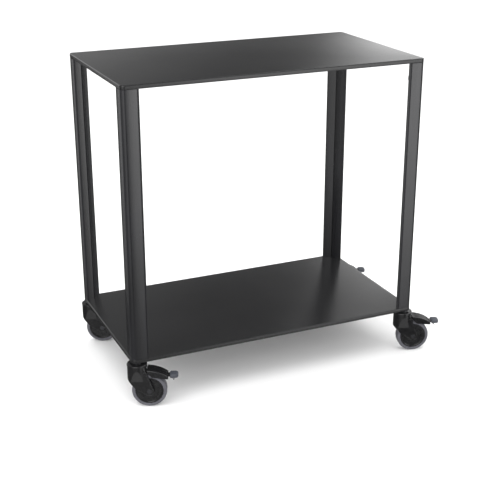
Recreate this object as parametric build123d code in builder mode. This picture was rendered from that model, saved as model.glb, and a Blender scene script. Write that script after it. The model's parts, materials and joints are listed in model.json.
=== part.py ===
from build123d import *
from math import cos, radians, sin, sqrt
import os

# A mobile stand: a flat top plate and a shelf plate of the same outline, four corner
# extrusions between them, and four swivel castors with brake pedals under the shelf.
# X runs along the long side, Y from front to back, Z up. The origin is on the floor,
# at the middle of the stand's footprint with its castors swung as parked.

# Overall sizes, in millimetres
LENGTH = 730.0
DEPTH = 400.0
HEIGHT = 744.0
TOP_THICKNESS = 10.0
SHELF_THICKNESS = 10.0
PLATE_CORNER = 9.5
PLATE_EDGE = 1.2

# Leg extrusion: a square with rounded corners, cut off on its inner diagonal
LEG_SIZE = 42.2
LEG_CORNER = 9.5
LEG_INSET = 0.2
TIP_LAND = 2.05
LEG_WALL = 2.2
CHAMBER_CORNER = 2.0
CORE_WEB = 1.3
CORE_WALL = 4.0
SLOT_WIDTH = 3.4
SLOT_LIP = 1.6
CHANNEL_WIDTH = 7.0
CHANNEL_DEPTH = 3.4

# Studs and inserts under the top plate
THREAD_DIAMETER = 10.0
THREAD_CLEARANCE = 0.05
TOP_SKIN = 2.0
INSERT_DIAMETER = 14.0
STUD_IN_LEG = 36.0
STUD_END_GAP = 0.5
SOCKET_SIZE = 5.0
SOCKET_DEPTH = 4.0

# Cable hook in the slot of the front right leg
HOOK_WIDTH = 9.0
HOOK_HEIGHT = 30.0
HOOK_DROP = 16.0
HOOK_BASE = 1.4
HOOK_NOSE = 5.5
HOOK_NOSE_HEIGHT = 12.0
HOOK_NECK_CLEARANCE = 0.2

# Castor stem, fixed to the leg
STEM_IN_LEG = 34.0
STEM_HOLE_CLEARANCE = 0.3
WASHER_DIAMETER = 26.0
WASHER_THICKNESS = 1.2
COLLAR_FLATS = 17.0
COLLAR_THICKNESS = 2.2
COLLAR_GAP = 0.6
KINGPIN_DIAMETER = 12.0
RING_DIAMETER = 18.0
RING_THICKNESS = 1.2
RING_GAP = 0.4
RING_LAND = 0.6
RING_GROOVE_DEPTH = 1.0

# Wheel
WHEEL_DIAMETER = 80.0
WHEEL_WIDTH = 24.0
TYRE_THICKNESS = 8.0
TYRE_SHOULDER = 4.5
HUB_RIM_INSET = 1.0
HUB_WEB_INSET = 2.5
HUB_BOSS_RADIUS = 10.0
AXLE_DIAMETER = 8.0
WHEEL_BUSH_WALL = 2.0
RUNNING_CLEARANCE = 0.05
SIDE_CLEARANCE = 0.3

# Castor housing, turning about the kingpin
TRAIL = 27.0
HEAD_RADIUS = 22.5
CAP_RADIUS = 23.3
CAP_THICKNESS = 4.5
CAP_EDGE = 1.5
CAP_GROOVE = 0.8
CHEEK_GAP = 1.5
CHEEK_THICKNESS = 4.0
CHEEK_EDGE = 3.2
FORK_END_RADIUS = 11.5
FORK_TOP_FRONT = 14.0
FORK_TOP_BACK = 16.5
HOOD_OFFSET = 16.3
HOOD_KNEE = 3.0
HOOD_CORNER = 7.0
TAPER_TOP_DROP = 7.5
TAPER_LENGTH = 28.0
ARCH_CLEARANCE = 2.0
SWIVEL_BUSH_WALL = 1.5
SWIVEL_BUSH_RISE = 3.0
HEAD_RISE = 21.5
RIVET_RADIUS = 5.7
RIVET_THICKNESS = 1.0
RIVET_RECESS = 1.2
RIVET_CLEARANCE = 0.2

# Brake pedal, turning about a pin in the housing
PIVOT_OFFSET = 16.0
PIVOT_RISE = 8.0
PIVOT_DIAMETER = 4.0
PEDAL_HUB_RADIUS = 5.0
POCKET_START = 10.0
POCKET_RISE = 18.0
POCKET_WIDTH = 25.0
PEDAL_SIDE_GAP = 0.5
PEDAL_WIDTH = 34.0
PEDAL_WALL = 2.5
PEDAL_EDGE = 2.2
PEDAL_START = 23.5
PEDAL_END = 70.0
PEDAL_START_RISE = 13.5
PEDAL_MIDDLE_RISE = 9.2
PEDAL_END_DROP = 3.0
SKIRT_START = 33.5
SKIRT_START_DROP = 4.5
SKIRT_END_DROP = 9.0
TONGUE_LENGTH = 17.0
TONGUE_THICKNESS = 4.0
TONGUE_WIDTH = 14.0
TONGUE_RISE = 1.0
PEDAL_NOSE = 4.0
PAD_START = 74.0
PAD_LENGTH = 19.0
PAD_WIDTH = 22.0
PAD_HEIGHT = 10.0
PAD_ROUND = 6.0
PAD_EDGE = 3.5
PRESS_ANGLE = 10.0
SHOE_START = 38.0
SHOE_END = 54.0
SHOE_WIDTH = 18.0
SHOE_GAP = 0.4
SPRING_THICKNESS = 0.8
SPRING_WIDTH = 14.0
SPRING_DROP = 3.0
SPRING_LENGTH = 10.0

# How far each pair of castors is swung from pointing along +X, in degrees
LEFT_SWING = -22.0
RIGHT_SWING = -17.0

# Heights that follow from the sizes above
wheel_radius = WHEEL_DIAMETER / 2
housing_top = WHEEL_DIAMETER + HEAD_RISE
head_top = housing_top + CAP_THICKNESS
collar_bottom = head_top + COLLAR_GAP
washer_bottom = collar_bottom + COLLAR_THICKNESS
castor_height = washer_bottom + WASHER_THICKNESS
shelf_top = castor_height + SHELF_THICKNESS
top_bottom = HEIGHT - TOP_THICKNESS
leg_length = top_bottom - shelf_top

# Places in the leg's section, measured in from its two outer faces
core_radius = THREAD_DIAMETER / 2 + THREAD_CLEARANCE
leg_diagonal = LEG_SIZE + TIP_LAND
slot_bottom = SLOT_LIP + CHANNEL_DEPTH
core_inset = (leg_diagonal - sqrt(2) * (slot_bottom + core_radius + CORE_WEB)) / 2
castor_inset = LEG_INSET + core_inset

# The plates' middle, seen from the middle of the footprint
pedal_reach = PAD_START + PAD_LENGTH
pad_corner_x = pedal_reach - PAD_ROUND
pad_corner_y = PAD_WIDTH / 2 - PAD_ROUND
right_swing = radians(abs(RIGHT_SWING))
left_swing = radians(abs(LEFT_SWING))
reach_right = pad_corner_x * cos(right_swing) + pad_corner_y * sin(right_swing) + PAD_ROUND
reach_front = pad_corner_x * sin(left_swing) + pad_corner_y * cos(left_swing) + PAD_ROUND
plate_x = (CAP_RADIUS - reach_right) / 2
plate_y = (reach_front - CAP_RADIUS) / 2
axis_x = LENGTH / 2 - castor_inset
axis_y = DEPTH / 2 - castor_inset

# Each corner: which way it lies, the leg's turn about Z and the castor's swing
corners = {
    "front_left": (-1, -1, 0, LEFT_SWING),
    "front_right": (1, -1, 90, RIGHT_SWING),
    "rear_right": (1, 1, 180, RIGHT_SWING),
    "rear_left": (-1, 1, 270, LEFT_SWING),
}
castor_points = [
    (plate_x + sx * axis_x, plate_y + sy * axis_y) for sx, sy, _, _ in corners.values()
]

os.makedirs("parts", exist_ok=True)


def save(piece, name):
    """Label one finished piece and write it to its own file."""
    piece.label = name
    export_step(piece, f"parts/{name}.step")


# ---------------------------------------------------------------- plates and their fixings

with BuildPart() as top_plate:
    with BuildSketch(Plane((plate_x, plate_y, top_bottom))):
        RectangleRounded(LENGTH, DEPTH, PLATE_CORNER)
    extrude(amount=TOP_THICKNESS)
    rims = top_plate.edges().group_by(Axis.Z)
    fillet(rims[0] + rims[-1], PLATE_EDGE)
    # blind holes from below for the threaded inserts
    with BuildSketch(Plane.XY.offset(top_bottom)):
        with Locations(*castor_points):
            Circle(INSERT_DIAMETER / 2)
    extrude(amount=TOP_THICKNESS - TOP_SKIN, mode=Mode.SUBTRACT)
save(top_plate.part, "top_plate")

with BuildPart() as shelf_plate:
    with BuildSketch(Plane((plate_x, plate_y, castor_height))):
        RectangleRounded(LENGTH, DEPTH, PLATE_CORNER)
    extrude(amount=SHELF_THICKNESS)
    rims = shelf_plate.edges().group_by(Axis.Z)
    fillet(rims[0] + rims[-1], PLATE_EDGE)
    # the castor stems pass through into the legs
    with BuildSketch(Plane.XY.offset(castor_height)):
        with Locations(*castor_points):
            Circle(THREAD_DIAMETER / 2 + STEM_HOLE_CLEARANCE)
    extrude(amount=SHELF_THICKNESS, mode=Mode.SUBTRACT)
save(shelf_plate.part, "shelf_plate")

with BuildPart() as top_inserts:
    with BuildSketch(Plane.XY.offset(top_bottom)):
        with Locations(*castor_points):
            Circle(INSERT_DIAMETER / 2)
            Circle(core_radius, mode=Mode.SUBTRACT)
    extrude(amount=TOP_THICKNESS - TOP_SKIN)
save(top_inserts.part, "top_inserts")

with BuildPart() as top_studs:
    with BuildSketch(Plane.XY.offset(top_bottom - STUD_IN_LEG)):
        with Locations(*castor_points):
            Circle(THREAD_DIAMETER / 2)
    extrude(amount=STUD_IN_LEG + TOP_THICKNESS - TOP_SKIN - STUD_END_GAP)
    with BuildSketch(Plane.XY.offset(top_bottom - STUD_IN_LEG)):
        with Locations(*castor_points):
            RegularPolygon(SOCKET_SIZE / 2, 6, major_radius=False)
    extrude(amount=SOCKET_DEPTH, mode=Mode.SUBTRACT)
save(top_studs.part, "top_studs")

# ---------------------------------------------------------------- leg extrusion

# The leg stands at its own corner, with its outer faces on X = 0 and Y = 0
slot_middle = leg_diagonal / 2
chamber_start = LEG_WALL + sqrt(2) * (core_radius + CORE_WALL)
chamber_diagonal = leg_diagonal - sqrt(2) * LEG_WALL
chamber_peak = (chamber_diagonal + chamber_start - LEG_WALL) / 2

with BuildSketch() as chambers:
    with BuildLine():
        Polyline(
            (chamber_start, LEG_WALL),
            (chamber_diagonal - LEG_WALL, LEG_WALL),
            (chamber_peak, chamber_diagonal - chamber_peak),
            close=True,
        )
    make_face()
    fillet(chambers.vertices(), CHAMBER_CORNER)
    mirror(about=Plane(origin=(0, 0, 0), z_dir=(1, -1, 0)))
    # the walls stay as thick where the profile's corners are rounded
    with Locations((LEG_SIZE / 2, LEG_SIZE / 2)):
        inner_size = LEG_SIZE - 2 * LEG_WALL
        RectangleRounded(inner_size, inner_size, LEG_CORNER - LEG_WALL, mode=Mode.INTERSECT)

with BuildPart() as leg:
    with BuildSketch():
        with Locations((LEG_SIZE / 2, LEG_SIZE / 2)):
            RectangleRounded(LEG_SIZE, LEG_SIZE, LEG_CORNER)
        with BuildLine():
            Polyline((0, 0), (leg_diagonal, 0), (0, leg_diagonal), close=True)
        make_face(mode=Mode.INTERSECT)
        with Locations((core_inset, core_inset)):
            Circle(core_radius, mode=Mode.SUBTRACT)
        # narrow slot in the diagonal face with a wider channel behind its lips
        with Locations(Location((slot_middle, slot_middle), 45)):
            Rectangle(2 * slot_bottom, SLOT_WIDTH, mode=Mode.SUBTRACT)
            with Locations((-SLOT_LIP - CHANNEL_DEPTH / 2, 0)):
                Rectangle(CHANNEL_DEPTH, CHANNEL_WIDTH, mode=Mode.SUBTRACT)
    extrude(amount=leg_length)
    extrude(chambers.sketch, amount=leg_length, mode=Mode.SUBTRACT)

for corner, (sx, sy, turn, _) in corners.items():
    leg_x = plate_x + sx * (LENGTH / 2 - LEG_INSET)
    leg_y = plate_y + sy * (DEPTH / 2 - LEG_INSET)
    save(leg.part.moved(Location((leg_x, leg_y, shelf_top), (0, 0, turn))), f"{corner}_leg")

# Cable hook: its foot fills the channel, its plate lies on the diagonal face.
# Its own X points out of the slot, and it hangs below the top plate.
hook_plane = Plane(
    origin=(
        plate_x + LENGTH / 2 - LEG_INSET - slot_middle,
        plate_y - DEPTH / 2 + LEG_INSET + slot_middle,
        top_bottom - HOOK_DROP - HOOK_HEIGHT,
    ),
    x_dir=(-1, 1, 0),
    z_dir=(0, 0, 1),
)
neck_width = SLOT_WIDTH - 2 * HOOK_NECK_CLEARANCE
foot_width = CHANNEL_WIDTH - 2 * HOOK_NECK_CLEARANCE
foot_depth = CHANNEL_DEPTH - 2 * HOOK_NECK_CLEARANCE
with BuildPart() as cable_hook:
    with BuildSketch(hook_plane):
        with Locations((HOOK_BASE / 2, 0)):
            Rectangle(HOOK_BASE, HOOK_WIDTH)
        with Locations((-SLOT_LIP / 2, 0)):
            Rectangle(SLOT_LIP + 2 * HOOK_NECK_CLEARANCE, neck_width)
        with Locations((-SLOT_LIP - CHANNEL_DEPTH / 2, 0)):
            Rectangle(foot_depth, foot_width)
    extrude(amount=HOOK_HEIGHT)
    # rounded nose at the lower end
    nose_plane = Plane(origin=hook_plane.origin, x_dir=hook_plane.x_dir, z_dir=-hook_plane.y_dir)
    with BuildSketch(nose_plane):
        with BuildLine():
            nose_top = HOOK_NOSE_HEIGHT + HOOK_NOSE
            Polyline((HOOK_BASE / 2, nose_top), (HOOK_BASE / 2, 0), (HOOK_BASE, 0))
            Line((HOOK_BASE, 0), (HOOK_NOSE, HOOK_NOSE - HOOK_BASE))
            Line((HOOK_NOSE, HOOK_NOSE - HOOK_BASE), (HOOK_NOSE, HOOK_NOSE_HEIGHT))
            Line((HOOK_NOSE, HOOK_NOSE_HEIGHT), (HOOK_BASE / 2, nose_top))
        make_face()
    extrude(amount=HOOK_WIDTH / 2, both=True)
save(cable_hook.part, "cable_hook")

# ---------------------------------------------------------------- castor stems

kingpin_end = WHEEL_DIAMETER + RING_LAND
ring_bottom = kingpin_end + RING_LAND
boss_bottom = ring_bottom + RING_THICKNESS + RING_GAP
ring_groove_radius = KINGPIN_DIAMETER / 2 - RING_GROOVE_DEPTH

with BuildPart() as castor_stems:
    with BuildSketch(Plane.XY.offset(kingpin_end)):
        with Locations(*castor_points):
            Circle(KINGPIN_DIAMETER / 2)
    extrude(amount=collar_bottom - kingpin_end)
    with BuildSketch(Plane.XY.offset(ring_bottom)):
        with Locations(*castor_points):
            Circle(KINGPIN_DIAMETER / 2)
            Circle(ring_groove_radius, mode=Mode.SUBTRACT)
    extrude(amount=RING_THICKNESS, mode=Mode.SUBTRACT)
    with BuildSketch(Plane.XY.offset(collar_bottom)):
        with Locations(*castor_points):
            RegularPolygon(COLLAR_FLATS / 2, 6, major_radius=False)
    extrude(amount=COLLAR_THICKNESS)
    with BuildSketch(Plane.XY.offset(washer_bottom)):
        with Locations(*castor_points):
            Circle(THREAD_DIAMETER / 2)
    extrude(amount=WASHER_THICKNESS + SHELF_THICKNESS + STEM_IN_LEG)
save(castor_stems.part, "castor_stems")

with BuildPart() as stem_washers:
    with BuildSketch(Plane.XY.offset(washer_bottom)):
        with Locations(*castor_points):
            Circle(WASHER_DIAMETER / 2)
            Circle(THREAD_DIAMETER / 2 + STEM_HOLE_CLEARANCE, mode=Mode.SUBTRACT)
    extrude(amount=WASHER_THICKNESS)
save(stem_washers.part, "stem_washers")

with BuildPart() as retaining_rings:
    with BuildSketch(Plane.XY.offset(ring_bottom)):
        with Locations(*castor_points):
            Circle(RING_DIAMETER / 2)
            Circle(ring_groove_radius, mode=Mode.SUBTRACT)
    extrude(amount=RING_THICKNESS)
save(retaining_rings.part, "retaining_rings")

# ---------------------------------------------------------------- castor, in its own frame
# Its origin is on the floor under the kingpin, and +X is the way that the wheel trails.

axle_height = wheel_radius
cheek_inner = WHEEL_WIDTH / 2 + CHEEK_GAP
cheek_outer = cheek_inner + CHEEK_THICKNESS
arch_radius = wheel_radius + ARCH_CLEARANCE
pivot = (PIVOT_OFFSET, WHEEL_DIAMETER + PIVOT_RISE)
pocket_roof = WHEEL_DIAMETER + POCKET_RISE
side_plane = Plane.XZ
axle_plane = Plane((TRAIL, 0, axle_height))
axle_axis = Axis((TRAIL, 0, axle_height), (0, 1, 0))

# The hood's lower edge slopes at 45 degrees down to a knee, and runs on to the fork's end
hood_edge = TRAIL + axle_height - sqrt(2) * HOOD_OFFSET
hood_knee = (-HOOD_KNEE, hood_edge + HOOD_KNEE)

with BuildPart() as fork:
    with BuildSketch(side_plane):
        with BuildLine():
            CenterArc((TRAIL, axle_height), FORK_END_RADIUS, 0, 360)
            Polyline(
                hood_knee,
                (-FORK_TOP_FRONT, hood_edge + FORK_TOP_FRONT),
                (-FORK_TOP_FRONT, housing_top),
                (FORK_TOP_BACK, housing_top),
            )
        make_hull()
    extrude(amount=cheek_outer, both=True)
    sides = fork.faces().filter_by(Axis.Y)
    fillet(sides.edges(), CHEEK_EDGE)

with BuildPart() as hood:
    with BuildSketch(Plane.XY.offset(axle_height)):
        Circle(HEAD_RADIUS)
    extrude(amount=housing_top - axle_height)
    with BuildSketch(side_plane):
        with BuildLine():
            CenterArc((TRAIL, axle_height), FORK_END_RADIUS, 0, 360)
            Polyline(
                hood_knee,
                (-HEAD_RADIUS, hood_edge + HEAD_RADIUS),
                (-HEAD_RADIUS, housing_top),
                (TRAIL + FORK_END_RADIUS, housing_top),
            )
        make_hull()
    extrude(amount=HEAD_RADIUS, both=True, mode=Mode.INTERSECT)
    fillet(hood.edges().filter_by(GeomType.ELLIPSE), HOOD_CORNER)

with BuildPart() as castor_housing:
    add(fork.part)
    add(hood.part)
    # seen from the front the head narrows down to the fork
    with BuildSketch(Plane.YZ):
        with BuildLine():
            taper_top = housing_top - TAPER_TOP_DROP
            taper_end = taper_top - TAPER_LENGTH
            Polyline(
                (-cheek_outer, 0),
                (-cheek_outer, taper_end),
                (-HEAD_RADIUS, taper_top),
                (-HEAD_RADIUS, housing_top),
                (HEAD_RADIUS, housing_top),
                (HEAD_RADIUS, taper_top),
                (cheek_outer, taper_end),
                (cheek_outer, 0),
                close=True,
            )
        make_face()
    extrude(amount=2 * WHEEL_DIAMETER, both=True, mode=Mode.INTERSECT)
    # wheel arch
    with BuildSketch(side_plane):
        with Locations((TRAIL, axle_height)):
            Circle(arch_radius)
    extrude(amount=cheek_inner, both=True, mode=Mode.SUBTRACT)
    # pocket for the pedal's hub, open to the back and down into the arch
    with BuildSketch(side_plane):
        with Locations((POCKET_START, wheel_radius)):
            Rectangle(
                TRAIL + wheel_radius, pocket_roof - wheel_radius, align=(Align.MIN, Align.MIN)
            )
    extrude(amount=POCKET_WIDTH / 2, both=True, mode=Mode.SUBTRACT)
    # bore for the swivel bush, and room below it for the retaining ring
    with BuildSketch(Plane.XY.offset(boss_bottom)):
        Circle(KINGPIN_DIAMETER / 2 + RUNNING_CLEARANCE + SWIVEL_BUSH_WALL)
    extrude(amount=housing_top - boss_bottom, mode=Mode.SUBTRACT)
    with BuildSketch(Plane.XY.offset(axle_height)):
        Circle(RING_DIAMETER / 2 + SIDE_CLEARANCE)
    extrude(amount=boss_bottom - axle_height, mode=Mode.SUBTRACT)
    # axle holes with recesses for the rivet heads, and the pedal's pin holes
    with BuildSketch(side_plane):
        with Locations((TRAIL, axle_height)):
            Circle(AXLE_DIAMETER / 2)
        with Locations(pivot):
            Circle(PIVOT_DIAMETER / 2)
    extrude(amount=cheek_outer, both=True, mode=Mode.SUBTRACT)
    for side in (-1, 1):
        with BuildSketch(side_plane.offset(side * cheek_outer)):
            with Locations((TRAIL, axle_height)):
                Circle(RIVET_RADIUS + RIVET_CLEARANCE)
        extrude(amount=-side * RIVET_RECESS, mode=Mode.SUBTRACT)

with BuildPart() as castor_cap:
    with BuildSketch(Plane.XY.offset(housing_top)):
        Circle(HEAD_RADIUS)
    extrude(amount=CAP_GROOVE)
    with BuildSketch(Plane.XY.offset(housing_top + CAP_GROOVE)):
        Circle(CAP_RADIUS)
    extrude(amount=CAP_THICKNESS - CAP_GROOVE)
    fillet(castor_cap.edges().group_by(Axis.Z)[-1], CAP_EDGE)
    with BuildSketch(Plane.XY.offset(housing_top)):
        Circle(KINGPIN_DIAMETER / 2 + SIDE_CLEARANCE)
    extrude(amount=CAP_THICKNESS, mode=Mode.SUBTRACT)

with BuildPart() as swivel_bush:
    with BuildSketch(Plane.XY.offset(boss_bottom)):
        Circle(KINGPIN_DIAMETER / 2 + RUNNING_CLEARANCE + SWIVEL_BUSH_WALL)
        Circle(KINGPIN_DIAMETER / 2 + RUNNING_CLEARANCE, mode=Mode.SUBTRACT)
    extrude(amount=housing_top - boss_bottom)

# Riveted axle with a flat head at each end
rivet_seat = cheek_outer - RIVET_RECESS
with BuildPart() as axle:
    with BuildSketch(side_plane):
        with Locations((TRAIL, axle_height)):
            Circle(AXLE_DIAMETER / 2)
    extrude(amount=rivet_seat, both=True)
    for side in (-1, 1):
        with BuildSketch(side_plane.offset(side * rivet_seat)):
            with Locations((TRAIL, axle_height)):
                Circle(RIVET_RADIUS)
        extrude(amount=side * RIVET_THICKNESS)

with BuildPart() as pivot_pin:
    with BuildSketch(side_plane):
        with Locations(pivot):
            Circle(PIVOT_DIAMETER / 2)
    extrude(amount=cheek_outer - SIDE_CLEARANCE, both=True)

# ---------------------------------------------------------------- wheel

hub_radius = wheel_radius - TYRE_THICKNESS
bush_radius = AXLE_DIAMETER / 2 + RUNNING_CLEARANCE + WHEEL_BUSH_WALL
boss_half = cheek_inner - SIDE_CLEARANCE
rim_half = WHEEL_WIDTH / 2 - HUB_RIM_INSET
web_half = WHEEL_WIDTH / 2 - HUB_WEB_INSET
step = HUB_WEB_INSET - HUB_RIM_INSET

with BuildPart() as tyre:
    with BuildSketch(axle_plane) as tyre_section:
        with Locations((wheel_radius - TYRE_THICKNESS / 2, 0)):
            Rectangle(TYRE_THICKNESS, WHEEL_WIDTH)
        fillet(tyre_section.vertices().group_by(Axis.X)[-1], TYRE_SHOULDER)
    revolve(axis=axle_axis)

with BuildPart() as wheel_hub:
    with BuildSketch(axle_plane):
        with BuildLine():
            Polyline(
                (bush_radius, 0),
                (bush_radius, boss_half),
                (HUB_BOSS_RADIUS, boss_half),
                (HUB_BOSS_RADIUS + step, web_half),
                (hub_radius - 2 * step, web_half),
                (hub_radius - step, rim_half),
                (hub_radius, rim_half),
                (hub_radius, 0),
                close=True,
            )
        make_face()
        mirror(about=Plane.XZ)
    revolve(axis=axle_axis)

with BuildPart() as wheel_bush:
    with BuildSketch(side_plane):
        with Locations((TRAIL, axle_height)):
            Circle(bush_radius)
            Circle(AXLE_DIAMETER / 2 + RUNNING_CLEARANCE, mode=Mode.SUBTRACT)
    extrude(amount=boss_half, both=True)

# ---------------------------------------------------------------- brake pedal

# The pedal's top is one long arc from the head out to the tongue. Its underside is
# open, and a web joins it to the hub that turns on the pivot pin.
top_start = (PEDAL_START, WHEEL_DIAMETER + PEDAL_START_RISE)
top_middle = ((PEDAL_START + PEDAL_END) / 2, WHEEL_DIAMETER + PEDAL_MIDDLE_RISE)
top_end = (PEDAL_END, WHEEL_DIAMETER - PEDAL_END_DROP)
skirt_end = (PEDAL_END, WHEEL_DIAMETER - SKIRT_END_DROP)
skirt_start = (SKIRT_START, WHEEL_DIAMETER - SKIRT_START_DROP)
pedal_heel = (PEDAL_START, WHEEL_DIAMETER + PIVOT_RISE)
skirt_half = PEDAL_WIDTH / 2
hub_half = POCKET_WIDTH / 2 - PEDAL_SIDE_GAP
tongue_height = WHEEL_DIAMETER - (PEDAL_END_DROP + SKIRT_END_DROP) / 2 + TONGUE_RISE


def lowered(point, drop):
    """A point of the side view, moved down."""
    return (point[0], point[1] - drop)


# The room under the pedal's top, in side view
with BuildSketch(side_plane) as hollow:
    with BuildLine():
        ThreePointArc(*[lowered(point, PEDAL_WALL) for point in (top_start, top_middle, top_end)])
        Polyline(
            lowered(top_end, PEDAL_WALL),
            (PEDAL_END, 0),
            (PEDAL_START, 0),
            lowered(top_start, PEDAL_WALL),
        )
    make_face()
    # the far end stays solid, to carry the tongue
    with Locations((PEDAL_END, 0)):
        Rectangle(2 * PEDAL_NOSE, 4 * WHEEL_DIAMETER, mode=Mode.SUBTRACT)

with BuildPart() as brake_pedal:
    with BuildSketch(side_plane):
        with BuildLine():
            ThreePointArc(top_start, top_middle, top_end)
            Polyline(top_end, skirt_end, skirt_start, pedal_heel, top_start)
        make_face()
    extrude(amount=skirt_half, both=True)
    # round the two long edges and the far corners of the top
    long_edges = brake_pedal.edges().filter_by(GeomType.CIRCLE)
    corner_edges = brake_pedal.edges().filter_by(Axis.Z).group_by(Axis.X)[-1]
    fillet(long_edges + corner_edges, PEDAL_EDGE)
    extrude(hollow.sketch, amount=skirt_half - PEDAL_WALL, both=True, mode=Mode.SUBTRACT)
    # web and hub
    with BuildSketch(side_plane):
        with BuildLine():
            Polyline(
                pivot,
                (PIVOT_OFFSET, pivot[1] + PEDAL_HUB_RADIUS),
                lowered(top_start, PEDAL_EDGE / 2),
                (PEDAL_START + PEDAL_HUB_RADIUS, pivot[1] + PEDAL_WALL),
                (PEDAL_START + PEDAL_HUB_RADIUS, pivot[1]),
                (PIVOT_OFFSET, pivot[1] - PEDAL_HUB_RADIUS),
                close=True,
            )
        make_face()
        with Locations(pivot):
            Circle(PEDAL_HUB_RADIUS)
    extrude(amount=hub_half, both=True)
    with BuildSketch(side_plane):
        with Locations(pivot):
            Circle(PIVOT_DIAMETER / 2 + RUNNING_CLEARANCE)
    extrude(amount=hub_half, both=True, mode=Mode.SUBTRACT)
    # tongue for the pad
    with BuildSketch(Plane.XY.offset(tongue_height - TONGUE_THICKNESS / 2)):
        with Locations((PEDAL_END - PEDAL_NOSE, 0)):
            Rectangle(
                PEDAL_NOSE + TONGUE_LENGTH, TONGUE_WIDTH, align=(Align.MIN, Align.CENTER)
            )
    extrude(amount=TONGUE_THICKNESS)

with BuildPart() as pedal_pad:
    with BuildSketch(Plane.XY.offset(tongue_height - PAD_HEIGHT / 2)):
        with Locations((PAD_START, 0)):
            Rectangle(PAD_LENGTH, PAD_WIDTH, align=(Align.MIN, Align.CENTER))
    extrude(amount=PAD_HEIGHT)
    fillet(pedal_pad.edges().filter_by(Axis.Z).group_by(Axis.X)[-1], PAD_ROUND)
    fillet(pedal_pad.edges().filter_by(Plane.XY), PAD_EDGE)
    with BuildSketch(Plane.XY.offset(tongue_height - TONGUE_THICKNESS / 2)):
        with Locations((PAD_START, 0)):
            Rectangle(
                PEDAL_END + TONGUE_LENGTH - PAD_START, TONGUE_WIDTH, align=(Align.MIN, Align.CENTER)
            )
    extrude(amount=TONGUE_THICKNESS, mode=Mode.SUBTRACT)

# The shoe's lower face is an arc that lies just off the tyre when the pedal is pressed.
# The wheel's centre is turned back about the pivot by the pedal's travel to place it.
press = radians(PRESS_ANGLE)
arm_x = TRAIL - pivot[0]
arm_z = axle_height - pivot[1]
shoe_centre = (
    pivot[0] + arm_x * cos(press) - arm_z * sin(press),
    pivot[1] + arm_x * sin(press) + arm_z * cos(press),
)
with BuildPart() as brake_shoe:
    with BuildSketch(side_plane):
        add(hollow.sketch_local)
        with Locations((SHOE_START, 0)):
            Rectangle(
                SHOE_END - SHOE_START,
                2 * WHEEL_DIAMETER,
                align=(Align.MIN, Align.MIN),
                mode=Mode.INTERSECT,
            )
        with Locations(shoe_centre):
            Circle(wheel_radius + SHOE_GAP, mode=Mode.SUBTRACT)
        with Locations((SHOE_START, 0)):
            Rectangle(
                SHOE_END - SHOE_START,
                axle_height,
                align=(Align.MIN, Align.MIN),
                mode=Mode.SUBTRACT,
            )
    extrude(amount=SHOE_WIDTH / 2, both=True)

# Leaf spring under the pocket's roof, bearing on the pedal's web
spring_top = pocket_roof
spring_start = POCKET_START + SPRING_THICKNESS
spring_bend = spring_start + SPRING_LENGTH
spring_tip = (spring_bend + SPRING_DROP, spring_top - SPRING_DROP)
with BuildPart() as detent_spring:
    with BuildSketch(side_plane):
        with BuildLine():
            Polyline(
                (spring_start, spring_top),
                (spring_bend, spring_top),
                spring_tip,
                (spring_tip[0] - SPRING_THICKNESS, spring_tip[1] - SPRING_THICKNESS),
                (spring_bend - SPRING_THICKNESS / 2, spring_top - SPRING_THICKNESS),
                (spring_start, spring_top - SPRING_THICKNESS),
                close=True,
            )
        make_face()
    extrude(amount=SPRING_WIDTH / 2, both=True)

# ---------------------------------------------------------------- four castors

castor_pieces = {
    "castor_housing": castor_housing,
    "castor_cap": castor_cap,
    "swivel_bush": swivel_bush,
    "axle": axle,
    "pivot_pin": pivot_pin,
    "detent_spring": detent_spring,
    "wheel_hub": wheel_hub,
    "wheel_bush": wheel_bush,
    "tyre": tyre,
    "brake_pedal": brake_pedal,
    "brake_shoe": brake_shoe,
    "pedal_pad": pedal_pad,
}
for (corner, (_, _, _, swing)), (castor_x, castor_y) in zip(corners.items(), castor_points):
    castor_place = Location((castor_x, castor_y, 0), (0, 0, swing))
    for name, piece in castor_pieces.items():
        save(piece.part.moved(castor_place), f"{corner}_{name}")
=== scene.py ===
import json
from math import atan2, cos, pi, radians, sin, sqrt

import bmesh
import bpy
from mathutils import Matrix, Vector


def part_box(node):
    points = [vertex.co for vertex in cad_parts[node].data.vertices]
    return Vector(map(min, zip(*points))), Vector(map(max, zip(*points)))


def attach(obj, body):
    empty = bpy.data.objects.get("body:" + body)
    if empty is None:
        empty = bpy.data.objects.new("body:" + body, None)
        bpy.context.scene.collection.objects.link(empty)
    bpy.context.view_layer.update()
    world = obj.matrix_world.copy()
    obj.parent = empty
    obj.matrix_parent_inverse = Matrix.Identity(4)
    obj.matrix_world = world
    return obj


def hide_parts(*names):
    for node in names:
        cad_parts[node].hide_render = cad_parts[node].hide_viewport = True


# Looks of a black mobile trolley: laminate plates, anodised corner profiles and castors
# with brake pedals. Lengths in this file are millimetres unless a name says otherwise.

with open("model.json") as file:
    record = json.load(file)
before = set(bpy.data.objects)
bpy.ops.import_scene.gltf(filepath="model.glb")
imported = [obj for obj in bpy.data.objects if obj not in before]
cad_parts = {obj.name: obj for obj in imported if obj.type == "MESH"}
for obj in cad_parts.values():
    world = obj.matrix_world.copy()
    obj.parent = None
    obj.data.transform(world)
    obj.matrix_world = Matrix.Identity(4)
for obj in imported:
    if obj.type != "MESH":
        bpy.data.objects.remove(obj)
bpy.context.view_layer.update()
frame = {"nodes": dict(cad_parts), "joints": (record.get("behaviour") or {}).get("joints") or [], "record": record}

MM = 0.001
CORNERS = ("front_left", "front_right", "rear_right", "rear_left")

# Edges that turn by more than SQUARE degrees are rounded, and faces that meet at less than
# SMOOTH degrees are shaded as one surface
SQUARE = 60.0
SMOOTH = 32.0

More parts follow.
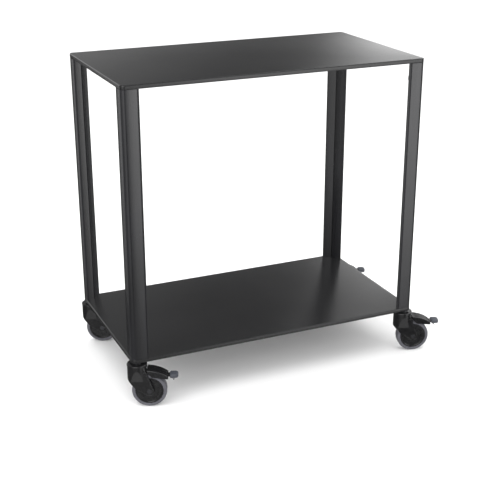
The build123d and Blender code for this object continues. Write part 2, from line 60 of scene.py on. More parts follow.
# How near a corner lies to the place it is picked by, how tall an upright edge is at least,
# and how near corners are merged and cuts snap
SNUG = 0.1
CLOSE = 0.01
UPRIGHT = 1.0
MERGE = 0.0005
SNAP = 0.0001

# Plates
PLATE_CORNER = 9.5
PLATE_EDGE = 1.6

# Corner profile, in from its two outer faces
LEG_SIZE = 42.2
LEG_CORNER = 9.5
TIP_LAND = 2.05
SLOT_WIDTH = 3.4
SLOT_DEPTH = 5.0
SLOT_LIP_EDGE = 0.4

# Castor
WHEEL_RADIUS = 40.0
TYRE_THICKNESS = 8.0
TYRE_HALF = 12.0
TYRE_SHOULDER = 4.6
TYRE_BEAD = 1.0
HUB_RIM_HALF = 11.0
HUB_WEB_HALF = 9.5
HUB_BOSS_HALF = 13.2
HUB_BOSS_RADIUS = 10.0
HUB_BOSS_EDGE = 0.8
HUB_BOSS_FOOT = 1.2
HUB_BORE_RADIUS = 6.05
HUB_GROOVE_IN = 19.4
HUB_GROOVE_OUT = 21.2
HUB_GROOVE_DEPTH = 0.5
HUB_GROOVE_SLOPE = 0.4
HUB_RIM_FOOT = 4.2
HUB_RIM_LAND = 2.6
HUB_RIM_EDGE = 0.6
TRAIL = 27.0
CHEEK_OUTER = 17.5
CAP_BOTTOM = 101.5
CAP_TOP = 106.0
HEAD_RADIUS = 22.5
CAP_RADIUS = 23.3
CAP_LIP = 0.8
CAP_ROUND = 1.7
CAP_BORE_RADIUS = 6.3
CAP_GROOVE_IN = 10.9
CAP_GROOVE_OUT = 12.5
CAP_GROOVE_DEPTH = 0.5
CAP_GROOVE_SLOPE = 0.4

# Raised ring round the axle's head: radii going in from its foot, and heights over the cheek
AXLE_RECESS_RADIUS = 5.9
RING_FOOT = 7.1
RING_SHOULDER = 6.9
RING_TOP_OUT = 6.6
RING_TOP_IN = 6.2
RING_SUNK = 0.4
RING_RISE = 0.4
RING_SHOULDER_RISE = 0.2
RING_INNER_RISE = 0.1
RING_STEPS = 64

# Raised border of each cheek: down the fork's back, round the axle and up its front
BORDER_RADIUS = 9.2
BORDER_WIDTH = 1.9
BORDER_RISE = 0.7
BORDER_START = 20.3
BORDER_SWEEP = 145.3
BORDER_BACK = 53.0
BORDER_FRONT = 24.0
BORDER_SUNK = 0.6
BORDER_ROUND = 0.6
BORDER_STEPS = 20

# Top of the brake pedal, seen from the side: an arc through three points
PEDAL_ARC = ((23.5, 93.5), (46.75, 89.2), (70.0, 77.0))

# Grip bars on the pedal's top; the first one's place is in degrees round the arc's centre
TREAD_COUNT = 6
TREAD_FIRST = 57.0
TREAD_PITCH = 3.1
TREAD_LOW = (-0.9, -8.0, -0.8)
TREAD_HIGH = (0.9, 8.0, 0.7)
TREAD_ROUND = 0.5

# Soft pad on the pedal's end, with grip ribs
PAD_LOW = (74.0, -11.0, 70.0)
PAD_HIGH = (93.0, 11.0, 80.0)
PAD_END_ROUND = 6.5
PAD_ROUND = 3.0
RIB_COUNT = 3
RIB_FIRST = 5.0
RIB_PITCH = 3.6
RIB_HALF = 0.8
RIB_REACH = 6.5
RIB_SUNK = 1.0
RIB_RISE = 0.5
RIB_ROUND = 0.6


# ---------------------------------------------------------------- materials


class Finish:
    """One procedural finish, built round a Principled shader on object coordinates."""

    def __init__(self, name, colour, roughness, metallic=0.0):
        self.material = bpy.data.materials.new(name)
        self.material.use_nodes = True
        self.tree = self.material.node_tree
        self.shader = self.tree.nodes["Principled BSDF"]
        self.shader.inputs["Base Color"].default_value = (*colour, 1.0)
        self.shader.inputs["Roughness"].default_value = roughness
        self.shader.inputs["Metallic"].default_value = metallic
        self.place = self.add("ShaderNodeTexCoord").outputs["Object"]
        self.height = None

    def add(self, kind, **settings):
        node = self.tree.nodes.new(kind)
        for key, value in settings.items():
            setattr(node, key, value)
        return node

    def link(self, source, target):
        self.tree.links.new(source, target)

    def noise(self, scale, detail=2.0, stretch=(1.0, 1.0, 1.0)):
        """Noise with its features about 1 / scale metres apart."""
        mapping = self.add("ShaderNodeMapping")
        mapping.inputs["Scale"].default_value = stretch
        self.link(self.place, mapping.inputs["Vector"])
        noise = self.add("ShaderNodeTexNoise")
        noise.inputs["Scale"].default_value = scale
        noise.inputs["Detail"].default_value = detail
        self.link(mapping.outputs["Vector"], noise.inputs["Vector"])
        return noise.outputs["Fac"]

    def spread(self, fac, low, high, near=0.3, far=0.7):
        """Spread the middle stretch of a noise over a range of values."""
        node = self.add("ShaderNodeMapRange")
        node.inputs["From Min"].default_value = near
        node.inputs["From Max"].default_value = far
        node.inputs["To Min"].default_value = low
        node.inputs["To Max"].default_value = high
        self.link(fac, node.inputs["Value"])
        return node.outputs["Result"]

    def vary_colour(self, fac, dark, light):
        node = self.add("ShaderNodeMix", data_type="RGBA")
        node.inputs["A"].default_value = (*dark, 1.0)
        node.inputs["B"].default_value = (*light, 1.0)
        self.link(self.spread(fac, 0.0, 1.0), node.inputs["Factor"])
        self.link(node.outputs["Result"], self.shader.inputs["Base Color"])

    def vary_roughness(self, fac, low, high):
        self.link(self.spread(fac, low, high), self.shader.inputs["Roughness"])

    def relief(self, fac, distance, strength=1.0):
        """Raise the surface by a noise; several reliefs are stacked."""
        node = self.add("ShaderNodeBump")
        node.inputs["Distance"].default_value = distance * MM
        node.inputs["Strength"].default_value = strength
        self.link(fac, node.inputs["Height"])
        if self.height is not None:
            self.link(self.height, node.inputs["Normal"])
        self.height = node.outputs["Normal"]
        self.link(self.height, self.shader.inputs["Normal"])


def laminate():
    """Satin black compact laminate with a fine pearl texture."""
    finish = Finish("black_laminate", (0.009, 0.009, 0.0095), 0.25)
    finish.vary_colour(finish.noise(7.0, 3.0), (0.008, 0.008, 0.0085), (0.010, 0.010, 0.0105))
    finish.vary_roughness(finish.noise(6.0, 2.0), 0.24, 0.27)
    finish.relief(finish.noise(900.0, 2.0), 0.02, 0.25)
    return finish.material


def anodised():
    """Black anodised aluminium with faint lines along the extrusion."""
    finish = Finish("black_anodised", (0.013, 0.013, 0.015), 0.18)
    lines = finish.noise(1400.0, 2.0, (1.0, 1.0, 0.004))
    streaks = finish.noise(30.0, 2.0, (1.0, 1.0, 0.2))
    finish.vary_colour(streaks, (0.011, 0.011, 0.012), (0.015, 0.015, 0.017))
    finish.vary_roughness(lines, 0.14, 0.21)
    finish.relief(lines, 0.012, 0.5)
    finish.relief(finish.noise(2600.0, 1.0), 0.01, 0.3)
    return finish.material


def moulded(name, colour, roughness, grain=1500.0, depth=0.03):
    """Moulded plastic or rubber with a fine spark-eroded grain."""
    finish = Finish(name, colour, roughness)
    dark = tuple(c * 0.86 for c in colour)
    light = tuple(min(1.0, c * 1.14) for c in colour)
    finish.vary_colour(finish.noise(45.0, 3.0), dark, light)
    finish.vary_roughness(finish.noise(120.0, 3.0), roughness - 0.05, roughness + 0.06)
    finish.relief(finish.noise(grain, 2.0), depth, 0.6)
    return finish.material


def steel(name, colour, roughness, stretch=(1.0, 1.0, 1.0)):
    """Turned, rolled or plated steel."""
    finish = Finish(name, colour, roughness, 1.0)
    marks = finish.noise(1100.0, 2.0, stretch)
    finish.vary_roughness(marks, roughness - 0.06, roughness + 0.08)
    finish.relief(marks, 0.01, 0.4)
    return finish.material


MATERIALS = {
    "plate": laminate(),
    "leg_profile": anodised(),
    "castor_plastic": moulded("castor_nylon", (0.007, 0.007, 0.0075), 0.20),
    "pedal_plastic": moulded("pedal_nylon", (0.007, 0.007, 0.0075), 0.20),
    "pad_rubber": moulded("pad_rubber", (0.045, 0.049, 0.060), 0.55, 1100.0, 0.05),
    "shoe_rubber": moulded("shoe_rubber", (0.030, 0.030, 0.030), 0.70, 900.0, 0.06),
    "tyre_tread": moulded("tyre_rubber", (0.085, 0.085, 0.098), 0.50, 800.0, 0.05),
    "hub_plastic": moulded("hub_plastic", (0.006, 0.006, 0.0065), 0.28),
    "hook_plastic": moulded("hook_plastic", (0.022, 0.022, 0.023), 0.38),
    "bearing_plastic": moulded("natural_acetal", (0.62, 0.60, 0.55), 0.40),
    "zinc_steel": steel("zinc_steel", (0.52, 0.53, 0.54), 0.32),
    "dark_steel": steel("black_zinc_steel", (0.10, 0.10, 0.11), 0.34),
    "axle_steel": steel("axle_steel", (0.07, 0.07, 0.075), 0.34),
    "spring_steel": steel("spring_steel", (0.36, 0.36, 0.38), 0.28, (1.0, 0.05, 1.0)),
}

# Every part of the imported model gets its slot's finish
for row in frame["record"]["subparts"]:
    mesh = frame["nodes"][row["node"]].data
    mesh.materials.clear()
    mesh.materials.append(MATERIALS[row["material_slot"]])


# ---------------------------------------------------------------- mesh helpers


def bevel(bm, geometry, width, segments, affect="EDGES"):
    """Round edges or corners, as the editor's bevel does."""
    bmesh.ops.bevel(
        bm,
        geom=geometry,
        offset=width,
        offset_type="OFFSET",
        segments=segments,
        profile=0.5,
        affect=affect,
        material=-1,
    )


def cut(bm, geometry, point, normal, clear=False):
    """Cut geometry with a plane, and take away what lies past it if asked to."""
    bmesh.ops.bisect_plane(
        bm, geom=geometry, dist=SNAP, plane_co=point, plane_no=normal, clear_outer=clear
    )


def whole(bm):
    """All of a bmesh, as one list."""
    return bm.verts[:] + bm.edges[:] + bm.faces[:]


def block(bm, low, high):
    """A box between two corners; returns its vertices."""
    low, high = Vector(low), Vector(high)
    made = bmesh.ops.create_cube(bm, size=1.0)["verts"]
    bmesh.ops.scale(bm, vec=high - low, verts=made)
    bmesh.ops.translate(bm, vec=(low + high) / 2, verts=made)
    return made


def sharp_edges(bm):
    return [e for e in bm.edges if e.is_manifold and e.calc_face_angle() > radians(SQUARE)]


def is_upright(edge):
    return abs(edge.verts[0].co.z - edge.verts[1].co.z) > UPRIGHT


def outline(bm, points):
    """A closed ring of edges in the XZ plane, from pairs of a radius and a height."""
    ring = [bm.verts.new((x, 0.0, z)) for x, z in points]
    return [bm.edges.new((a, b)) for a, b in zip(ring, ring[1:] + ring[:1])]


def turn(bm, edges, steps=96):
    """Spin a ring of edges a whole turn about Z."""
    vertices = list({v for e in edges for v in e.verts})
    bmesh.ops.spin(
        bm,
        geom=vertices + edges,
        cent=(0, 0, 0),
        axis=(0, 0, 1),
        angle=2 * pi,
        steps=steps,
        use_merge=True,
    )


def draw_out(bm, faces, step):
    """Extrude faces along a step; returns the geometry at the new end."""
    made = bmesh.ops.extrude_face_region(bm, geom=faces)["geom"]
    bmesh.ops.translate(bm, vec=step, verts=[g for g in made if isinstance(g, bmesh.types.BMVert)])
    return made


def finished(bm, name, body, slot, place=None, replaced=()):
    """Make a bmesh in millimetres an object that rides on a body."""
    bmesh.ops.remove_doubles(bm, verts=bm.verts[:], dist=MERGE)
    bmesh.ops.recalc_face_normals(bm, faces=bm.faces[:])
    bmesh.ops.transform(bm, matrix=(place or Matrix()) @ Matrix.Scale(MM, 4), verts=bm.verts[:])
    mesh = bpy.data.meshes.new(name)
    bm.to_mesh(mesh)
    bm.free()
    mesh.shade_smooth()
    mesh.set_sharp_from_angle(angle=radians(SMOOTH))
    mesh.materials.append(MATERIALS[slot])
    piece = bpy.data.objects.new(name, mesh)
    bpy.context.scene.collection.objects.link(piece)
    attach(piece, body)
    if replaced:
        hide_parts(*replaced)


# ---------------------------------------------------------------- plates and profiles


def make_plate(node):
    """A plate with rounded corners and eased edges."""
    low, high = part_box(node)
    bm = bmesh.new()
    block(bm, low / MM, high / MM)
    bevel(bm, [e for e in bm.edges if is_upright(e)], PLATE_CORNER, 12)
    bevel(bm, sharp_edges(bm), PLATE_EDGE, 5)
    finished(bm, node + "_board", "frame", "plate", replaced=[node])


def make_leg(corner, quarter):
    """A corner profile: a rounded square cut off on its diagonal, with a slot in that face."""
    node = corner + "_leg"
    low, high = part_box(node)
    bm = bmesh.new()
    bmesh.ops.create_grid(bm, x_segments=1, y_segments=1, size=LEG_SIZE / 2)
    bmesh.ops.translate(bm, vec=(LEG_SIZE / 2, LEG_SIZE / 2, 0), verts=bm.verts[:])
    bevel(bm, bm.verts[:], LEG_CORNER, 8, "VERTICES")
    middle = Vector((LEG_SIZE + TIP_LAND, LEG_SIZE + TIP_LAND, 0)) / 2
    out = Vector((1, 1, 0)).normalized()
    along = Vector((1, -1, 0)).normalized()
    cut(bm, whole(bm), middle, out, clear=True)
    for side in (-1, 1):
        cut(bm, whole(bm), middle + along * side * SLOT_WIDTH / 2, along)
    cut(bm, whole(bm), middle - out * SLOT_DEPTH, out)
    slot = [
        f
        for f in bm.faces
        if abs((f.calc_center_median() - middle).dot(along)) < SLOT_WIDTH / 2
        and (f.calc_center_median() - middle).dot(out) > -SLOT_DEPTH
    ]
    bmesh.ops.delete(bm, geom=slot, context="FACES")
    draw_out(bm, bm.faces[:], Vector((0, 0, (high.z - low.z) / MM)))
    bmesh.ops.recalc_face_normals(bm, faces=bm.faces[:])
    # ease the two lips of the slot
    lips = [
        e
        for e in bm.edges
        if is_upright(e)
        and abs((e.verts[0].co - middle).dot(out)) < CLOSE
        and abs(abs((e.verts[0].co - middle).dot(along)) - SLOT_WIDTH / 2) < CLOSE
    ]
    bevel(bm, lips, SLOT_LIP_EDGE, 2)
    # the profile's outer corner is at the low or the high corner of the part's box
    turned = Matrix.Rotation(radians(90 * quarter), 4, "Z")
    corner_x = low.x if quarter in (0, 3) else high.x
    corner_y = low.y if quarter in (0, 1) else high.y
    place = Matrix.Translation((corner_x, corner_y, low.z)) @ turned
    finished(bm, node + "_profile", "frame", "leg_profile", place, [node])


for plate_node in ("top_plate", "shelf_plate"):
    make_plate(plate_node)
for quarter_turns, corner_name in enumerate(CORNERS):
    make_leg(corner_name, quarter_turns)


# ---------------------------------------------------------------- castors


def castor_place(corner):
    """Where a castor lies: from the floor under its kingpin, with X along its trail."""
    spin = next(j for j in frame["joints"] if j["name"] == corner + "_wheel_spin")
    swivel = next(j for j in frame["joints"] if j["name"] == corner + "_castor_swivel")
    axle = Vector(spin["pos_m"])
    pin = Vector(swivel["pos_m"])
    swing = atan2(axle.y - pin.y, axle.x - pin.x)
    return Matrix.Translation((pin.x, pin.y, 0.0)) @ Matrix.Rotation(swing, 4, "Z")


def on_axle(turned=90):
    """Lay a piece made round Z on the axle, which runs along Y; -90 faces it the other way."""
    middle = Matrix.Translation((TRAIL * MM, 0.0, WHEEL_RADIUS * MM))
    return middle @ Matrix.Rotation(radians(turned), 4, "X")


def make_tyre(corner, place):
    """The tyre: a rounded band spun round the axle."""
    bm = bmesh.new()
    bmesh.ops.create_grid(bm, x_segments=1, y_segments=1, size=0.5)
    bmesh.ops.scale(bm, vec=(TYRE_THICKNESS, 2 * TYRE_HALF, 1.0), verts=bm.verts[:])
    bmesh.ops.rotate(bm, matrix=Matrix.Rotation(radians(90), 3, "X"), verts=bm.verts[:])
    bmesh.ops.translate(bm, vec=(WHEEL_RADIUS - TYRE_THICKNESS / 2, 0, 0), verts=bm.verts[:])
    rim = [v for v in bm.verts if v.co.x > WHEEL_RADIUS - SNUG]
    bevel(bm, rim, TYRE_SHOULDER, 7, "VERTICES")
    bead = [v for v in bm.verts if v.co.x < WHEEL_RADIUS - TYRE_THICKNESS + SNUG]
    bevel(bm, bead, TYRE_BEAD, 3, "VERTICES")
    bmesh.ops.delete(bm, geom=bm.faces[:], context="FACES_ONLY")
    turn(bm, bm.edges[:])
    name, body = corner + "_tyre_ring", corner + "_wheel"
    finished(bm, name, body, "tyre_tread", place @ on_axle(), [corner + "_tyre"])


def make_hub(corner, place):
    """The wheel's disc, with a boss, a moulded groove and a rim on both sides."""
    hub_radius = WHEEL_RADIUS - TYRE_THICKNESS
    groove_floor = HUB_WEB_HALF - HUB_GROOVE_DEPTH
    half = [
        (HUB_BORE_RADIUS, HUB_BOSS_HALF),
        (HUB_BOSS_RADIUS - HUB_BOSS_EDGE, HUB_BOSS_HALF),
        (HUB_BOSS_RADIUS, HUB_BOSS_HALF - HUB_BOSS_EDGE),
        (HUB_BOSS_RADIUS + HUB_BOSS_FOOT, HUB_WEB_HALF),
        (HUB_GROOVE_IN, HUB_WEB_HALF),
        (HUB_GROOVE_IN + HUB_GROOVE_SLOPE, groove_floor),
        (HUB_GROOVE_OUT - HUB_GROOVE_SLOPE, groove_floor),
        (HUB_GROOVE_OUT, HUB_WEB_HALF),
        (hub_radius - HUB_RIM_FOOT, HUB_WEB_HALF),
        (hub_radius - HUB_RIM_LAND, HUB_RIM_HALF),
        (hub_radius - HUB_RIM_EDGE, HUB_RIM_HALF),
        (hub_radius, HUB_RIM_HALF - HUB_RIM_EDGE),
    ]
    bm = bmesh.new()
    edges = outline(bm, half + [(x, -z) for x, z in reversed(half)])
    turn(bm, edges)
    name, body = corner + "_hub_disc", corner + "_wheel"
    finished(bm, name, body, "hub_plastic", place @ on_axle(), [corner + "_wheel_hub"])


def make_cap(corner, place):
    """The ring on the castor's head, with a lip below and a groove on top."""
    bm = bmesh.new()
    outline(
        bm,
        [
            (CAP_BORE_RADIUS, CAP_BOTTOM),
            (HEAD_RADIUS, CAP_BOTTOM),
            (HEAD_RADIUS, CAP_BOTTOM + CAP_LIP),
            (CAP_RADIUS, CAP_BOTTOM + CAP_LIP),
            (CAP_RADIUS, CAP_TOP),
            (CAP_GROOVE_OUT, CAP_TOP),
            (CAP_GROOVE_OUT - CAP_GROOVE_SLOPE, CAP_TOP - CAP_GROOVE_DEPTH),
            (CAP_GROOVE_IN + CAP_GROOVE_SLOPE, CAP_TOP - CAP_GROOVE_DEPTH),
            (CAP_GROOVE_IN, CAP_TOP),
            (CAP_BORE_RADIUS, CAP_TOP),
        ],
    )
    rim = [v for v in bm.verts if v.co.x > HEAD_RADIUS + SNUG and v.co.z > CAP_TOP - SNUG]
    # the outline is filled while its corner is rounded
    bm.faces.new(bm.verts[:])
    bevel(bm, rim, CAP_ROUND, 5, "VERTICES")
    bmesh.ops.delete(bm, geom=bm.faces[:], context="FACES_ONLY")
    turn(bm, bm.edges[:])
    name, body = corner + "_cap_ring", corner + "_swivel"
    finished(bm, name, body, "castor_plastic", place, [corner + "_castor_cap"])


def make_axle_boss(corner, place):
    """Raised ring round the axle's head on each cheek of the fork."""
    for side, turned in (("outer", 90), ("inner", -90)):
        bm = bmesh.new()
        edges = outline(
            bm,
            [
                (AXLE_RECESS_RADIUS, CHEEK_OUTER - RING_SUNK),
                (RING_FOOT, CHEEK_OUTER - RING_SUNK),
                (RING_SHOULDER, CHEEK_OUTER + RING_SHOULDER_RISE),
                (RING_TOP_OUT, CHEEK_OUTER + RING_RISE),
                (RING_TOP_IN, CHEEK_OUTER + RING_RISE),
                (AXLE_RECESS_RADIUS, CHEEK_OUTER + RING_INNER_RISE),
            ],
        )
        turn(bm, edges, RING_STEPS)
        name = f"{corner}_axle_ring_{side}"
        finished(bm, name, corner + "_swivel", "castor_plastic", place @ on_axle(turned))


def make_fork_border(corner, place):
    """Raised border on each cheek: down its back, round the axle and up its front."""
    inner, outer = BORDER_RADIUS - BORDER_WIDTH / 2, BORDER_RADIUS + BORDER_WIDTH / 2
    low, high = CHEEK_OUTER - BORDER_SUNK, CHEEK_OUTER + BORDER_RISE
    sweep = radians(BORDER_SWEEP)
    for side, turned, hand in (("outer", 90, 1), ("inner", -90, -1)):
        bm = bmesh.new()
        outline(bm, [(inner, low), (outer, low), (outer, high), (inner, high)])
        bmesh.ops.contextual_create(bm, geom=bm.edges[:])
        bevel(bm, [v for v in bm.verts if v.co.z > CHEEK_OUTER], BORDER_ROUND, 4, "VERTICES")
        bmesh.ops.translate(bm, vec=(0, BORDER_BACK, 0), verts=bm.verts[:])
        end = draw_out(bm, bm.faces[:], Vector((0, -BORDER_BACK, 0)))
        spun = bmesh.ops.spin(
            bm, geom=end, cent=(0, 0, 0), axis=(0, 0, 1), angle=-sweep, steps=BORDER_STEPS
        )
        faces = [g for g in spun["geom_last"] if isinstance(g, bmesh.types.BMFace)]
        draw_out(bm, faces, BORDER_FRONT * Vector((-sin(sweep), -cos(sweep), 0)))
        start = Matrix.Rotation(radians(BORDER_START), 3, "Z")
        bmesh.ops.rotate(bm, matrix=start, verts=bm.verts[:])
        bmesh.ops.scale(bm, vec=(1, hand, 1), verts=bm.verts[:])
        name = f"{corner}_fork_border_{side}"
        finished(bm, name, corner + "_swivel", "castor_plastic", place @ on_axle(turned))


def make_pad(corner, place):
    """Soft pad on the pedal's end, with shallow grip ribs."""
    bm = bmesh.new()
    block(bm, PAD_LOW, PAD_HIGH)
    far = [e for e in bm.edges if is_upright(e) and e.verts[0].co.x > PAD_HIGH[0] - SNUG]
    bevel(bm, far, PAD_END_ROUND, 8)
    bevel(bm, sharp_edges(bm), PAD_ROUND, 5)
    top = PAD_HIGH[2]
    for step in range(RIB_COUNT):
        middle = PAD_LOW[0] + RIB_FIRST + RIB_PITCH * step
        rib = bmesh.new()
        low = (middle - RIB_HALF, -RIB_REACH, top - RIB_SUNK)
        block(rib, low, (middle + RIB_HALF, RIB_REACH, top + RIB_RISE))
        bevel(rib, rib.edges[:], RIB_ROUND, 3)
        copy = bpy.data.meshes.new("rib")
        rib.to_mesh(copy)
        rib.free()
        bm.from_mesh(copy)
        bpy.data.meshes.remove(copy)
    name, body = corner + "_pad_cover", corner + "_pedal"
    finished(bm, name, body, "pad_rubber", place, [corner + "_pedal_pad"])


def circle_through(a, b, c):
    """Centre and radius of the circle through three points of the side view."""
    ax, az = a
    bx, bz = b
    cx, cz = c
    aa, bb, cc = ax**2 + az**2, bx**2 + bz**2, cx**2 + cz**2
    d = 2 * (ax * (bz - cz) + bx * (cz - az) + cx * (az - bz))
    x = (aa * (bz - cz) + bb * (cz - az) + cc * (az - bz)) / d
    z = (aa * (cx - bx) + bb * (ax - cx) + cc * (bx - ax)) / d
    return x, z, sqrt((ax - x) ** 2 + (az - z) ** 2)


def make_treads(corner, place):
    """Grip bars across the outer half of the pedal's top."""
    x, z, radius = circle_through(*PEDAL_ARC)
    bm = bmesh.new()
    for step in range(TREAD_COUNT):
        angle = radians(TREAD_FIRST - TREAD_PITCH * step)
        bar = block(bm, TREAD_LOW, TREAD_HIGH)
        edges = list({e for v in bar for e in v.link_edges})
        bmesh.ops.rotate(bm, matrix=Matrix.Rotation(radians(90) - angle, 3, "Y"), verts=bar)
        seat = (x + radius * cos(angle), 0, z + radius * sin(angle))
        bmesh.ops.translate(bm, vec=seat, verts=bar)
        bevel(bm, edges, TREAD_ROUND, 2)
    finished(bm, corner + "_pedal_treads", corner + "_pedal", "pedal_plastic", place)


for corner_name in CORNERS:
    at = castor_place(corner_name)
    make_tyre(corner_name, at)
    make_hub(corner_name, at)
    make_cap(corner_name, at)
    make_axle_boss(corner_name, at)
    make_fork_border(corner_name, at)
    make_pad(corner_name, at)
    make_treads(corner_name, at)


# ---------------------------------------------------------------- floor, light and camera

FLOOR_SIZE_M = 60.0
FLOOR_COLOUR = (0.86, 0.86, 0.86, 1.0)
FLOOR_ROUGHNESS = 0.9
WHITE = (1.0, 1.0, 1.0, 1.0)

# Soft lamps: name, place and size in metres, and watts; all point at AIM_M
AIM_M = (0.0, 0.0, 0.4)
SOFTBOXES = (
    ("overhead", (0.0, 0.2, 3.2), 4.0, 4.0, 70.0),
    ("left_fill", (-3.2, -0.6, 1.6), 2.4, 2.4, 40.0),
    ("front_fill", (0.6, -3.4, 1.8), 3.0, 2.2, 40.0),
)
SKY_STRENGTH = 2.2
SKY_SPREAD = 120.0

# Studio walls below the horizon: degrees from the front towards the right, and brightness
LOW_WALLS = (
    (-180, 0.0), (-166, 0.02), (-163, 0.20), (-150, 0.20), (-128, 0.12), (-110, 0.06),
    (-90, 0.06), (-74, 0.18), (-60, 0.36), (-37, 0.46), (-22, 0.42), (-12, 0.18),
    (-2, 0.04), (12, 0.03), (16, 1.05), (44, 1.05), (48, 0.03), (74, 0.02),
    (92, 0.22), (125, 0.22), (138, 0.02), (180, 0.0),
)

# The large panels on the left and right are dimmer just above the horizon
NEAR_PANELS = (0.9, 0.3)
HIGH_PANELS = (1.4, 1.5)

# Brightness and shares by height, which counts 0 straight down and 1 straight up
FALL = (
    (0.0, 0.05), (0.27, 0.06), (0.297, 0.12), (0.306, 0.42), (0.40, 1.0), (0.61, 1.0),
    (0.67, 0.65), (0.85, 0.6), (1.0, 0.3),
)
RISE = ((0.45, 0.0), (0.51, 1.0))
LIFT = ((0.63, 0.0), (0.69, 1.0))
NEAR_FLOOR = ((0.18, 0.26), (0.28, 0.0))

MIRRORED_STRENGTH = 3.2
BACKDROP_STRENGTH = 1.0
SOFT_STRENGTH = 0.65

CAMERA_PLACE_M = (-1.0247, -2.2339, 1.2044)
CAMERA_TILT = 68.925
CAMERA_PAN = -24.108
LENS = 76.04
SENSOR = 36.0


def make_floor():
    bm = bmesh.new()
    bmesh.ops.create_grid(bm, x_segments=1, y_segments=1, size=FLOOR_SIZE_M / 2)
    mesh = bpy.data.meshes.new("studio_floor")
    bm.to_mesh(mesh)
    bm.free()
    floor = bpy.data.objects.new("studio_floor", mesh)
    bpy.context.scene.collection.objects.link(floor)
    paint = bpy.data.materials.new("pale_floor")
    paint.use_nodes = True
    shader = paint.node_tree.nodes["Principled BSDF"]
    shader.inputs["Base Color"].default_value = FLOOR_COLOUR
    shader.inputs["Roughness"].default_value = FLOOR_ROUGHNESS
    mesh.materials.append(paint)
    floor.visible_glossy = False


def make_sky():
    """Even light from above that casts no shadow."""
    lamp = bpy.data.lights.new("sky", "SUN")
    lamp.energy = SKY_STRENGTH
    lamp.angle = radians(SKY_SPREAD)
    lamp.use_shadow = False
    sky = bpy.data.objects.new("sky", lamp)
    sky.visible_glossy = False
    bpy.context.scene.collection.objects.link(sky)


def make_softbox(name, place, width, height, watts):
    """A large rectangular light, pointed at the object's middle."""
    lamp = bpy.data.lights.new(name, "AREA")
    lamp.shape = "RECTANGLE"
    lamp.size, lamp.size_y = width, height
    lamp.energy = watts
    box = bpy.data.objects.new(name, lamp)
    box.location = place
    box.rotation_euler = (Vector(AIM_M) - Vector(place)).to_track_quat("-Z", "Y").to_euler()
    box.visible_glossy = False
    bpy.context.scene.collection.objects.link(box)


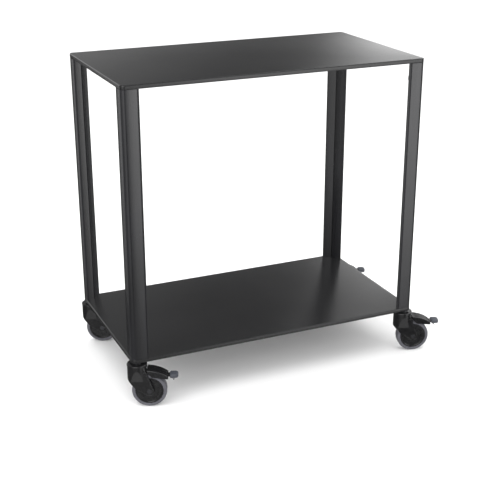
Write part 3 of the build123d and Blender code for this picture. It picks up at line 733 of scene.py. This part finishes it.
class Studio:
    """Studio walls, as the polished parts mirror them: panels of light round the object."""

    def __init__(self):
        world = bpy.data.worlds.new("studio")
        bpy.context.scene.world = world
        world.use_nodes = True
        self.nodes, self.links = world.node_tree.nodes, world.node_tree.links
        self.nodes.clear()
        direction = self.nodes.new("ShaderNodeTexCoord").outputs["Generated"]
        axes = self.nodes.new("ShaderNodeSeparateXYZ")
        self.links.new(direction, axes.inputs["Vector"])
        # 0 at the back, growing by way of the left, the front and the right
        towards_front = self.compute("MULTIPLY", axes.outputs["Y"], -1.0)
        bearing = self.compute("ARCTAN2", axes.outputs["X"], towards_front)
        turns = self.compute("DIVIDE", bearing, 2 * pi)
        self.around = self.compute("ADD", turns, 0.5)
        half_height = self.compute("MULTIPLY", axes.outputs["Z"], 0.5)
        self.height = self.compute("ADD", half_height, 0.5)

    def compute(self, operation, *inputs):
        node = self.nodes.new("ShaderNodeMath")
        node.operation = operation
        for socket, value in zip(node.inputs, inputs):
            if isinstance(value, (int, float)):
                socket.default_value = value
            else:
                self.links.new(value, socket)
        return node.outputs["Value"]

    def band(self, fac, stops):
        """Brightness along a value from 0 to 1, with soft steps."""
        ramp = self.nodes.new("ShaderNodeValToRGB")
        ramp.color_ramp.interpolation = "LINEAR"
        while len(ramp.color_ramp.elements) < len(stops):
            ramp.color_ramp.elements.new(0.5)
        for element, (place, value) in zip(ramp.color_ramp.elements, stops):
            element.position = place
            element.color = (value, value, value, 1.0)
        self.links.new(fac, ramp.inputs["Fac"])
        return ramp.outputs["Color"]

    def walls(self, stops):
        """Walls round the object, from pairs of degrees and brightness."""
        turned = [((degrees + 180.0) / 360.0, value) for degrees, value in stops]
        return self.band(self.around, turned)

    def panels(self, left, right):
        """Walls above the horizon, with a large panel on the left and on the right."""
        return self.walls((
            (-180, 0.12), (-174, 0.6), (-152, 0.6), (-140, 0.06), (-76, 0.08), (-60, left),
            (-16, left), (-4, 0.06), (38, 0.05), (48, right), (104, right), (134, 0.6 * right),
            (139, 0.06), (142, 0.08), (145, 0.90), (147, 0.78), (150, 0.26), (152, 0.06),
            (157, 0.05), (163, 0.10), (168, 0.16), (180, 0.12),
        ))

    def mix(self, a, b, factor=1.0, blend="MIX"):
        node = self.nodes.new("ShaderNodeMix")
        node.data_type = "RGBA"
        node.blend_type = blend
        if isinstance(factor, float):
            node.inputs["Factor"].default_value = factor
        else:
            self.links.new(factor, node.inputs["Factor"])
        self.links.new(a, node.inputs["A"])
        self.links.new(b, node.inputs["B"])
        return node.outputs["Result"]

    def glow(self, strength, colour=None):
        """Light of one strength from everywhere, white or in the colours of the walls."""
        node = self.nodes.new("ShaderNodeBackground")
        node.inputs["Color"].default_value = WHITE
        node.inputs["Strength"].default_value = strength
        if colour is not None:
            self.links.new(colour, node.inputs["Color"])
        return node.outputs[0]

    def choose(self, ray, others, these):
        """One light for a kind of ray, and another for all other rays."""
        node = self.nodes.new("ShaderNodeMixShader")
        self.links.new(ray, node.inputs[0])
        self.links.new(others, node.inputs[1])
        self.links.new(these, node.inputs[2])
        return node.outputs[0]

    def build(self):
        lift = self.band(self.height, LIFT)
        high_walls = self.mix(self.panels(*NEAR_PANELS), self.panels(*HIGH_PANELS), lift)
        rise = self.band(self.height, RISE)
        walls = self.mix(self.walls(LOW_WALLS), high_walls, rise)
        shaped = self.mix(walls, self.band(self.height, FALL), blend="MULTIPLY")
        grounded = self.mix(shaped, self.band(self.height, NEAR_FLOOR), blend="ADD")
        ray = self.nodes.new("ShaderNodeLightPath")
        mirrored = self.glow(MIRRORED_STRENGTH, grounded)
        lit = self.choose(ray.outputs["Is Glossy Ray"], self.glow(SOFT_STRENGTH), mirrored)
        seen = self.choose(ray.outputs["Is Camera Ray"], lit, self.glow(BACKDROP_STRENGTH))
        out = self.nodes.new("ShaderNodeOutputWorld")
        self.links.new(seen, out.inputs["Surface"])


def make_camera():
    data = bpy.data.cameras.new("camera")
    data.sensor_width = SENSOR
    data.lens = LENS
    camera = bpy.data.objects.new("camera", data)
    camera.location = CAMERA_PLACE_M
    camera.rotation_euler = (radians(CAMERA_TILT), 0.0, radians(CAMERA_PAN))
    bpy.context.scene.collection.objects.link(camera)
    bpy.context.scene.camera = camera


make_floor()
make_sky()
for softbox in SOFTBOXES:
    make_softbox(*softbox)
Studio().build()
make_camera()
bpy.context.scene.view_settings.view_transform = "Standard"
